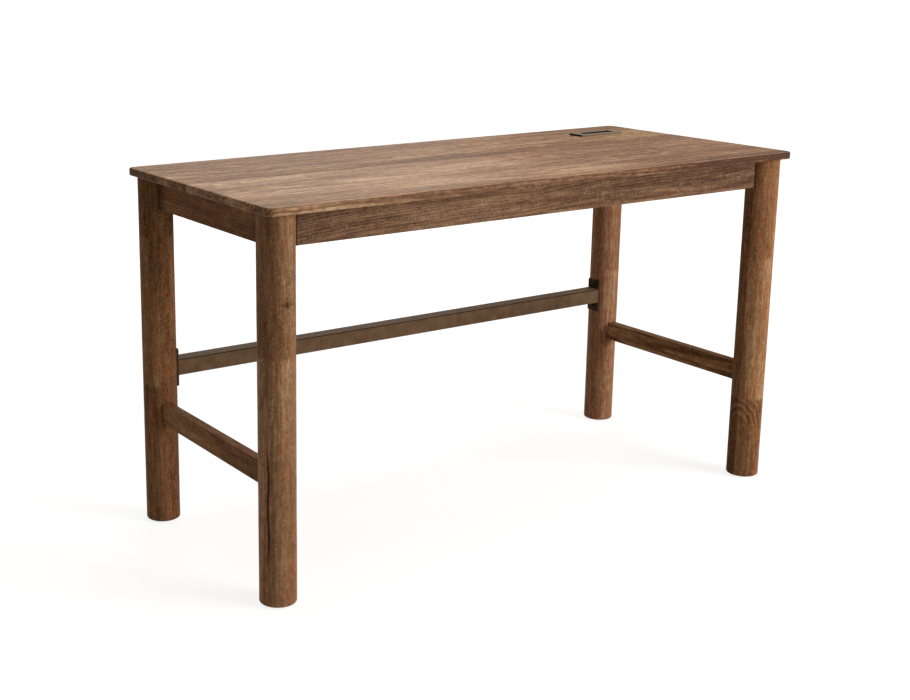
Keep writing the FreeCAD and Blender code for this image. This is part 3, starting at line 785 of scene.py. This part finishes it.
def speckled_material(name, finish):
    """Moulded, painted or plated finish with a fine mottled grain, and with its own colour on arrises."""
    graph = Graph(name)
    place = graph.place()
    grit = graph.noise(graph.mapped(place, [1 / finish.grain] * 3), *finish_noise)
    cloud = graph.noise(graph.mapped(place, [1 / (finish.grain * finish_cloud_ratio)] * 3), finish_noise[0])
    mask = graph.spread(graph.calc("ADD", graph.centred(grit, finish_grit_strength), cloud), *finish_range)
    colour = graph.mix(mask, finish.base, finish.pale)
    if finish.arris:
        # Upper arrises take the finish's arris colour
        level = graph.split(graph.facing())[2]
        rise = graph.spread(level, *finish_arris_rise_levels)
        upper_arris = graph.times(rise, graph.spread(level, *finish_arris_fall_levels, 1.0, 0.0))
        colour = graph.mix(upper_arris, colour, finish.arris)
    return graph.finish(
        {
            "Base Color": colour,
            "Metallic": finish.metal,
            "Roughness": graph.calc(
                "ADD", graph.centred(cloud, finish_cloud_roughness), finish.rough, clamp=True
            ),
            "Normal": graph.bump(grit, finish_bump, finish.relief),
            "Specular IOR Level": finish.sheen,
        }
    )


def within(graph, place, middle, half):
    """1 inside an upright rectangle about a middle, 0 outside it."""
    off = graph.split(graph.vector("ABSOLUTE", graph.vector("SUBTRACT", place, tuple(middle))))
    return graph.product([graph.calc("LESS_THAN", away, limit) for away, limit in zip(off, half)])


def bezel_material():
    """Satin bronze finish with the fine lines of a brush along it, and painted shade on its ends and in its
    opening.
    """
    graph = Graph("bezel_satin")
    place = graph.place()
    low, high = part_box("power_bezel")
    # Painted shade in the opening and on the ends, which face along X
    shaded_opening = within(graph, place, (low + high) / 2, bezel_opening_half)
    ends = graph.spread(graph.calc("ABSOLUTE", graph.split(graph.facing())[0]), *bezel_shaded_end_range)
    brush = marks_of(graph, place, bezel_brush_mark, "X", 0.0)
    grit = graph.noise(graph.mapped(place, [1 / bezel_grit] * 3), *finish_noise)
    brush_mottle = graph.calc("ADD", brush, graph.centred(grit, bezel_grit_strength), clamp=True)
    bronze = graph.mix(brush_mottle, *BEZEL_BRONZE)
    dark = graph.mix(brush_mottle, *BEZEL_PAINTED_SHADE)
    return graph.finish(
        {
            "Base Color": graph.mix(graph.calc("MAXIMUM", shaded_opening, ends), bronze, dark),
            "Roughness": graph.calc(
                "ADD", graph.centred(brush, bezel_brush_roughness), bezel_roughness, clamp=True
            ),
            "Normal": graph.bump(brush, bezel_bump, bezel_relief),
            "Specular IOR Level": bezel_sheen,
        }
    )


def leg_axis(corner):
    """Foot of a leg's axis, measured from the leg's outer side."""
    low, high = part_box(corner + "_leg")
    x = low.x + leg_radius if corner.endswith("left") else high.x - leg_radius
    return Vector((x, (low.y + high.y) / 2, 0))


def mesh_of(name, shape):
    """Mesh of a finished shape, which is then freed."""
    mesh = bpy.data.meshes.new(name)
    shape.to_mesh(mesh)
    shape.free()
    return mesh


def skin(shape, rings, closed=False):
    """Faces between rings of points, with the ends capped or joined to each other."""
    pairs = list(zip(rings, rings[1:]))
    if closed:
        pairs.append((rings[-1], rings[0]))
    for below, above in pairs:
        for index in range(len(below)):
            following = (index + 1) % len(below)
            shape.faces.new((below[index], below[following], above[following], above[index]))
    if not closed:
        shape.faces.new(reversed(rings[0]))
        shape.faces.new(rings[-1])


def placed(name, data):
    """New object in the scene."""
    thing = bpy.data.objects.new(name, data)
    bpy.context.collection.objects.link(thing)
    return thing


def crack_groove(point, angle, cracks):
    """Depth of the cracks at a place on a leg."""
    depth = 0.0
    for crack_angle, low, high in cracks:
        side = leg_radius * math.sin(angle - crack_angle)
        off = abs(side - crack_wander * math.sin(crack_wave * point.z))
        middle = (low + high) / 2
        ends = 1 - min(1, abs(point.z - middle) / ((high - low) / 2))
        if math.cos(angle - crack_angle) > 0 and off < crack_half_width:
            depth = max(depth, crack_depth * (1 - off / crack_half_width) * min(1, ends * crack_end_slope))
    return depth


def leg_angles(cracks):
    """Even columns round a leg, with close ones where it is cracked."""
    angles = [2 * math.pi * step / leg_sides - math.pi for step in range(leg_sides)]
    reach = crack_wander + crack_half_width
    count = math.ceil(reach / crack_column_step)
    for crack_angle, _, _ in cracks:
        near = (reach + crack_column_step) / leg_radius
        angles = [angle for angle in angles if abs(angle - crack_angle) > near]
        angles += [crack_angle + step * crack_column_step / leg_radius for step in range(-count, count + 1)]
    return sorted(angles)


def leg_rows(low_z, high_z):
    """Heights and insets of the rows of a leg, with its foot rounded."""
    rows = []
    for step in range(leg_foot_rows):
        turn = math.pi / 2 * step / leg_foot_rows
        rows.append((low_z + leg_foot_round * (1 - math.cos(turn)), leg_foot_round * (1 - math.sin(turn))))
    start = low_z + leg_foot_round
    count = math.ceil((high_z - start) / leg_row_height)
    rows += [(start + (high_z - start) * step / count, 0.0) for step in range(count + 1)]
    return rows


def leg_mesh(corner):
    """Round leg with a rounded foot, a slightly uneven surface and its cracks."""
    low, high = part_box(corner + "_leg")
    axis = leg_axis(corner)
    cracks = LEGS[corner].cracks
    angles = leg_angles(cracks)
    shape = bmesh.new()
    rings = []
    for z, inset in leg_rows(low.z, high.z):
        ring = []
        for angle in angles:
            way = Vector((math.cos(angle), math.sin(angle), 0))
            point = axis + way * leg_radius + UP * z
            wobble = leg_wobble * (noise.noise(point / leg_wobble_size) - 1)
            ring.append(shape.verts.new(point + way * (wobble - inset - crack_groove(point, angle, cracks))))
        rings.append(ring)
    skin(shape, rings)
    return mesh_of(corner + "_turned_leg", shape)


def block_mesh(name, low, high):
    """Plain block between two corners, used for cutting."""
    shape = bmesh.new()
    bmesh.ops.create_cube(shape, size=1.0)
    size = high - low
    for vertex in shape.verts:
        share = vertex.co + Vector((0.5, 0.5, 0.5))
        vertex.co = low + Vector((share.x * size.x, share.y * size.y, share.z * size.z))
    return mesh_of(name, shape)


def leg_housings(corner):
    """Low and high corners of the pockets that a leg's rails and plate sit in."""
    depth_side, length_side = corner.split("_")
    gap = Vector((joint_gap, joint_gap, 0))
    pockets = []
    for name in (depth_side + "_apron", length_side + "_apron", length_side + "_stretcher"):
        low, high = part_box(name)
        lift = UP * joint_gap if name.endswith("apron") else Vector()
        pockets.append((low - gap, high + gap + lift))
    if depth_side == "back":
        low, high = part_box(length_side + "_bar_plate")
        axis = leg_axis(corner)
        reach = leg_radius + joint_gap
        low.y = axis.y - reach
        high.y = axis.y + reach
        if length_side == "left":
            high.x = axis.x + reach
        else:
            low.x = axis.x - reach
        pockets.append((low, high))
    return pockets


def cut_away(piece, pockets):
    """Cut blocks out of a piece and keep the result as its mesh."""
    cutters = []
    for index, (low, high) in enumerate(pockets):
        cutter = placed("cutter", block_mesh("cutter", low, high))
        modifier = piece.modifiers.new("pocket_%d" % index, "BOOLEAN")
        modifier.operation = "DIFFERENCE"
        modifier.solver = "EXACT"
        modifier.object = cutter
        cutters.append(cutter)
    seen = piece.evaluated_get(bpy.context.evaluated_depsgraph_get())
    mesh = bpy.data.meshes.new_from_object(seen)
    mesh.name = piece.data.name
    piece.modifiers.clear()
    piece.data = mesh
    for cutter in cutters:
        bpy.data.objects.remove(cutter)


def smooth(mesh):
    """Smooth shading that keeps the sharp edges."""
    mesh.polygons.foreach_set("use_smooth", [True] * len(mesh.polygons))
    mesh.set_sharp_from_angle(angle=sharp_angle)


def add_piece(mesh, material, slot, *nodes):
    """Put a mesh on the desk in place of CAD nodes."""
    piece = placed(mesh.name, mesh)
    mesh.materials.append(material)
    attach(piece, "root")
    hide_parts(*nodes)
    return piece


def make_legs():
    for index, corner in enumerate(CORNERS):
        axis = leg_axis(corner)
        leg = LEGS[corner]
        heart = Vector(frame_look.heart) - axis
        look = frame_look._replace(
            seed=leg_seed + index, tones=leg.tones, light=leg.light, patch=leg.patch, heart=tuple(heart)
        )
        material = wood_material(corner + "_leg_wood", look, tuple(axis), leg)
        mesh = leg_mesh(corner)
        piece = add_piece(mesh, material, "frame_wood", corner + "_leg")
        cut_away(piece, leg_housings(corner))
        smooth(piece.data)


def solids_of(node):
    """Points of each separate solid in a CAD node, in a fixed order."""
    shape = bmesh.new()
    shape.from_mesh(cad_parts[node].data)
    bmesh.ops.remove_doubles(shape, verts=shape.verts, dist=weld_distance)
    seen = set()
    solids = []
    for vertex in shape.verts:
        if vertex in seen:
            continue
        seen.add(vertex)
        group = [vertex]
        for member in group:
            for edge in member.link_edges:
                other = edge.other_vert(member)
                if other not in seen:
                    seen.add(other)
                    group.append(other)
        solids.append([member.co.copy() for member in group])
    shape.free()
    return solids


def ends_along(points, way):
    """Middles of the two ends of a straight solid that lies along a way."""
    side = way.orthogonal().normalized()
    middle = Vector()
    for across in (side, way.cross(side)):
        reach = [point.dot(across) for point in points]
        middle += across * ((min(reach) + max(reach)) / 2)
    along = [point.dot(way) for point in points]
    return middle + way * min(along), middle + way * max(along)


def screw_way(points, head):
    """Direction from the head of a screw to its point."""
    sides = [[point[axis] for point in points] for axis in range(3)]
    sizes = [max(side) - min(side) for side in sides]
    way = Vector()
    way[sizes.index(max(sizes))] = 1.0
    start, end = ends_along(points, way)
    near_start = sum((point - start).length < head for point in points)
    near_end = sum((point - end).length < head for point in points)
    return way if near_start > near_end else -way


def lathe(name, rows, sides, closed=False):
    """Mesh round the Z axis through rows of (height, radius at an angle), capped or closed to a ring."""
    shape = bmesh.new()
    rings = []
    for height, radius in rows:
        ring = []
        for step in range(sides):
            angle = 2 * math.pi * step / sides
            way = Vector((math.cos(angle), math.sin(angle), 0))
            ring.append(shape.verts.new(way * radius(angle) + UP * height))
        rings.append(ring)
    skin(shape, rings, closed)
    return mesh_of(name, shape)


def even(radius):
    """Radius that is the same at every angle."""
    return lambda angle: radius


def thread_rows(start, end, radius, depth, pitch):
    """Rows of a screw thread between two heights."""
    count = max(1, round((end - start) / pitch * rows_per_turn))

    def radius_at(height):
        def threaded(angle):
            turn = (height / pitch - angle / (2 * math.pi)) % 1
            return radius - depth * abs(2 * turn - 1)

        return threaded

    heights = [start + (end - start) * step / count for step in range(count + 1)]
    return [(height, radius_at(height)) for height in heights]


def screw_mesh(name, screw):
    """Screw with a domed cross-recessed head at its foot and a threaded shank that points up."""
    head, shank = screw.head / 2, screw.shank / 2
    rows = [(screw.head_height * height, even(head * share)) for share, height in screw_dome_shares]
    plain = screw.length * screw_plain_share
    point = screw.length - screw.shank
    rows.append((0.0, even(shank)))
    rows += thread_rows(plain, point, shank, shank * screw_thread_share, screw.pitch)
    rows.append((screw.length, even(shank * screw_point_share)))
    piece = placed(name, lathe(name, rows, screw_sides))
    reach = screw.head * recess_length_share / 2
    half = screw.head * recess_width_share / 2
    floor = -screw.head_height * (1 - recess_depth_share)
    outside = -screw.head_height * recess_overrun_share
    arms = ((reach, half), (half, reach))
    cut_away(piece, [(Vector((-x, -y, outside)), Vector((x, y, floor))) for x, y in arms])
    mesh = piece.data
    bpy.data.objects.remove(piece)
    return mesh


def bolt_mesh(name, length):
    """Hanger bolt: a coarse wood thread at its foot and a machine thread above."""
    radius = bolt_diameter / 2
    middle = length * bolt_wood_share
    rows = [(0.0, even(radius * screw_point_share))]
    rows += thread_rows(bolt_diameter, middle, radius, bolt_wood_depth, bolt_wood_pitch)
    rows += thread_rows(middle + bolt_diameter, length - bolt_depth, radius, bolt_depth, bolt_pitch)
    rows.append((length, even(radius - bolt_depth)))
    return lathe(name, rows, screw_sides)


def nut_mesh(name, height):
    """Hexagon nut with its corners turned off at both ends."""
    sixth = math.pi / 3

    def hexagon(limit):
        return lambda angle: min(limit, nut_width / 2 / math.cos(angle % sixth - sixth / 2))

    rise = list(nut_chamfer_heights)
    limits = [nut_width / 2 + step * nut_chamfer_slope for step in rise]
    rows = [(step, hexagon(limit)) for step, limit in zip(rise, limits)]
    rows += [(height - step, hexagon(limit)) for step, limit in reversed(list(zip(rise, limits)))]
    bore = even(bolt_diameter / 2)
    return lathe(name, rows + [(height, bore), (0.0, bore)], nut_sides, closed=True)


def joined(name, mesh, places):
    """One mesh of copies of another, each with its foot at a start and its Z axis along a way."""
    shape = bmesh.new()
    for start, way in places:
        copy = mesh.copy()
        copy.transform(Matrix.Translation(start) @ way.to_track_quat("Z", "Y").to_matrix().to_4x4())
        shape.from_mesh(copy)
        bpy.data.meshes.remove(copy)
    result = mesh_of(name, shape)
    smooth(result)
    return result


def make_screws(finishes):
    """Detailed screws in place of the CAD ones."""
    for node, screw in SCREWS.items():
        places = []
        for points in solids_of(node):
            way = screw_way(points, screw.head)
            start = ends_along(points, way)[0]
            places.append((start + way * screw.head_height, way))
        mesh = joined("cross_" + node, screw_mesh(node, screw), places)
        add_piece(mesh, finishes[screw.finish], screw.slot, node)


def make_hangers(material):
    """Threaded hanger bolts and chamfered nuts in place of the CAD ones."""
    for node, shape_of in (("hanger_bolts", bolt_mesh), ("hanger_nuts", nut_mesh)):
        places = []
        for points in solids_of(node):
            way = sum(points, Vector())
            way = Vector((-math.copysign(1, way.x), -math.copysign(1, way.y), 0)).normalized()
            start, end = ends_along(points, way)
            places.append((start, way))
        mesh = joined("threaded_" + node, shape_of(node, (end - start).length), places)
        add_piece(mesh, material, "zinc_steel", node)


def dress(names, material):
    """Give CAD nodes a better finish."""
    for name in names:
        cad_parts[name].material_slots[0].material = material


def painted_shoulder_shade_of(name, axis):
    """Painted shadow line where a long apron meets its legs, or soft painted shade where a short one does.
    """
    low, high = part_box(name)
    half_thick = (high - low)[1 - axis] / 2
    end = abs(leg_axis("back_left")[axis]) - math.sqrt(leg_radius**2 - half_thick**2)
    if axis == 0:
        return end - shoulder_shadow_line, end - shoulder_shadow_line + shoulder_shadow_fade, shoulder_shadow_line_strength
    return end - shoulder_painted_shade, end, shoulder_painted_shade_strength


def dress_boards():
    dress(["top_front_board"], wood_material("front_board_wood", front_board_look))
    dress(["top_back_board"], wood_material("back_board_wood", back_board_look))
    for index, name in enumerate(("front_apron", "back_apron", "left_apron", "right_apron")):
        long = index < 2
        look = apron_look if long else rail_look
        # Each rail gets painted shade where it meets its legs
        look = look._replace(seed=apron_seed + index, shoulder=painted_shoulder_shade_of(name, 0 if long else 1))
        dress([name], wood_material(name + "_wood", look))
    for index, name in enumerate(("left_stretcher", "right_stretcher")):
        look = rail_look._replace(seed=stretcher_seed + index, ring=stretcher_rings[index])
        dress([name], wood_material(name + "_wood", look))
    blocks = [name + "_corner_block" for name in CORNERS]
    dress(blocks + ["apron_dowels"], wood_material("bare_wood", bare_look))


def dress_fittings():
    finishes = {name: speckled_material(name, finish) for name, finish in FINISHES.items()}
    for name, nodes in FINISH_NODES.items():
        dress(nodes, finishes[name])
    dress(["power_bezel"], bezel_material())
    make_screws(finishes)
    make_hangers(finishes["zinc_plate"])


def make_camera():
    data = bpy.data.cameras.new("photo_camera")
    data.lens = camera_lens_mm
    data.sensor_width = camera_sensor_mm
    data.shift_x, data.shift_y = camera_shift_shares
    camera = placed("photo_camera", data)
    camera.location = camera_place
    camera.rotation_euler = (math.pi / 2 + camera_pitch, 0, -camera_yaw)
    bpy.context.scene.camera = camera


def make_lamp(name, place, size, watts):
    """Square soft light that faces the desk."""
    data = bpy.data.lights.new(name, "AREA")
    data.size = size
    data.energy = watts
    lamp = placed(name, data)
    lamp.location = place
    lamp.rotation_euler = (light_target - place).to_track_quat("-Z", "Y").to_euler()


def backdrop_rays(tree):
    """1 for rays that see the backdrop directly or in a reflection, 0 for light that falls on the desk."""
    path = tree.nodes.new("ShaderNodeLightPath")
    running = path.outputs["Is Camera Ray"]
    for name in ("Is Glossy Ray", "Is Transmission Ray"):
        node = tree.nodes.new("ShaderNodeMath")
        node.operation = "MAXIMUM"
        tree.links.new(running, node.inputs[0])
        tree.links.new(path.outputs[name], node.inputs[1])
        running = node.outputs[0]
    return running


def make_world():
    world = bpy.data.worlds.new("studio")
    world.use_nodes = True
    tree = world.node_tree
    tree.nodes.clear()
    backgrounds = []
    for colour, strength in ((fill_colour, fill_strength), (backdrop_colour, 1.0)):
        background = tree.nodes.new("ShaderNodeBackground")
        background.inputs["Color"].default_value = colour
        background.inputs["Strength"].default_value = strength
        backgrounds.append(background)
    blend = tree.nodes.new("ShaderNodeMixShader")
    tree.links.new(backdrop_rays(tree), blend.inputs[0])
    tree.links.new(backgrounds[0].outputs[0], blend.inputs[1])
    tree.links.new(backgrounds[1].outputs[0], blend.inputs[2])
    output = tree.nodes.new("ShaderNodeOutputWorld")
    tree.links.new(blend.outputs[0], output.inputs["Surface"])
    bpy.context.scene.world = world


def floor_material():
    """White floor with a soft shadow under the desk, white again further off and clear from below."""
    graph = Graph("studio_floor")
    far = graph.vector("LENGTH", graph.place())
    strength = graph.spread(far, floor_near, floor_far, floor_near_white_share, 1.0)
    glow = graph.add("ShaderNodeEmission", {"Color": floor_glow_colour, "Strength": strength})
    shaded = graph.add("ShaderNodeBsdfDiffuse", {"Color": floor_shadow_colour})
    seen = graph.add("ShaderNodeAddShader", {0: glow.outputs[0], 1: shaded.outputs[0]})
    matt = graph.add("ShaderNodeBsdfDiffuse", {"Color": floor_colour})
    rays = backdrop_rays(graph.tree)
    lit = graph.add("ShaderNodeMixShader", {0: rays, 1: matt.outputs[0], 2: seen.outputs[0]})
    clear = graph.add("ShaderNodeBsdfTransparent")
    below = graph.add("ShaderNodeNewGeometry").outputs["Backfacing"]
    surface = graph.add("ShaderNodeMixShader", {0: below, 1: lit.outputs[0], 2: clear.outputs[0]})
    graph.add("ShaderNodeOutputMaterial", {"Surface": surface.outputs[0]})
    return graph.material


def make_floor():
    shape = bmesh.new()
    bmesh.ops.create_grid(shape, x_segments=1, y_segments=1, size=floor_reach)
    mesh = mesh_of("studio_floor", shape)
    mesh.materials.append(floor_material())
    floor = placed("studio_floor", mesh)


make_camera()
make_world()
make_floor()
for lamp_name, lamp_facts in LAMPS.items():
    make_lamp(lamp_name, *lamp_facts)
dress_boards()
dress_fittings()
make_legs()

bpy.context.scene.view_settings.view_transform = "Standard"
